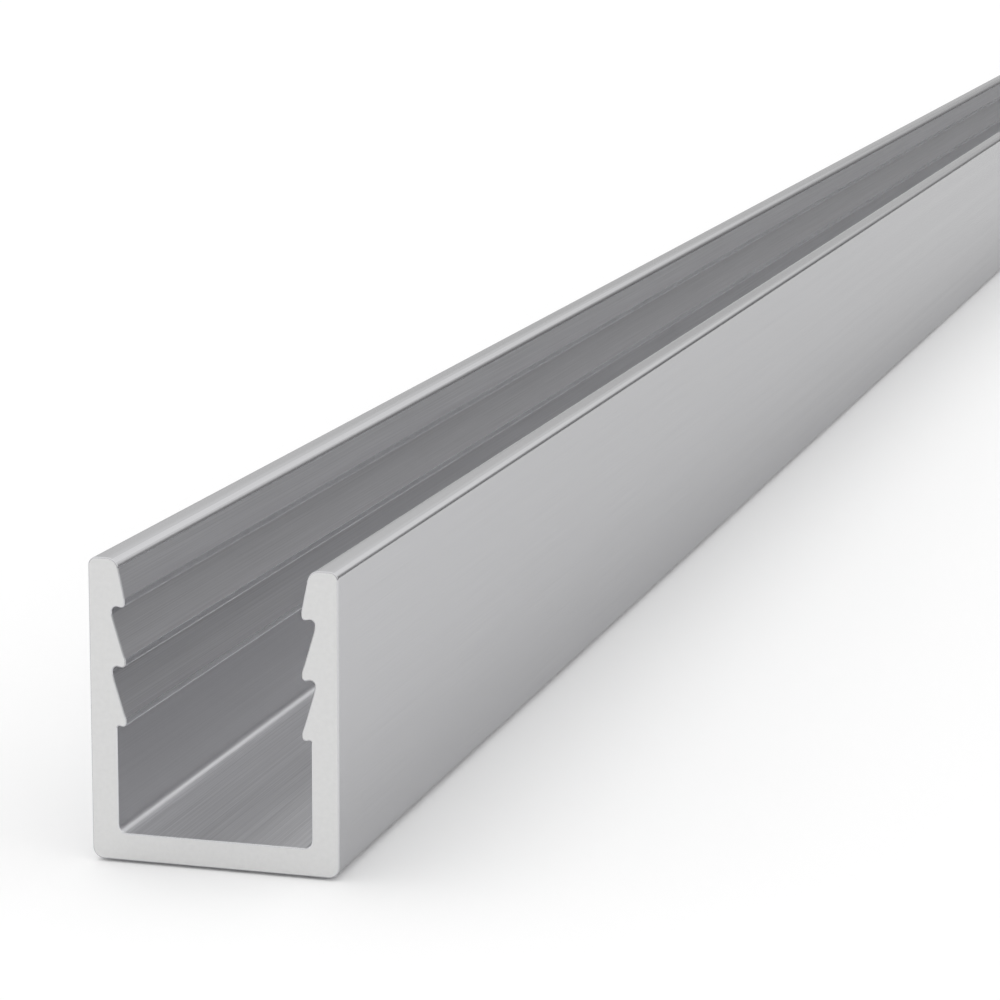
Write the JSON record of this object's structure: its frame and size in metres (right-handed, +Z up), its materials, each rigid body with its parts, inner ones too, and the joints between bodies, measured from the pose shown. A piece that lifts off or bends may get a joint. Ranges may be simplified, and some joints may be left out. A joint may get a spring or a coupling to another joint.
{
  "type": "aluminium extrusion profile",
  "caption": "Deep U-shaped aluminium channel extrusion, open on top, with downward-hooked barbs along both inner legs that grip a pressed-in strip.",
  "frame": {"origin": "middle of the underside of the web, half way along the stock", "axes": "+X across the width, +Y along the stock, +Z up out of the open side of the channel"},
  "size_m": [0.02, 1, 0.0238],
  "materials": {
    "satin_aluminium": "satin"
  },
  "bodies": {
    "root": {"channel_extrusion": "satin_aluminium"}
  },
  "joints": []
}
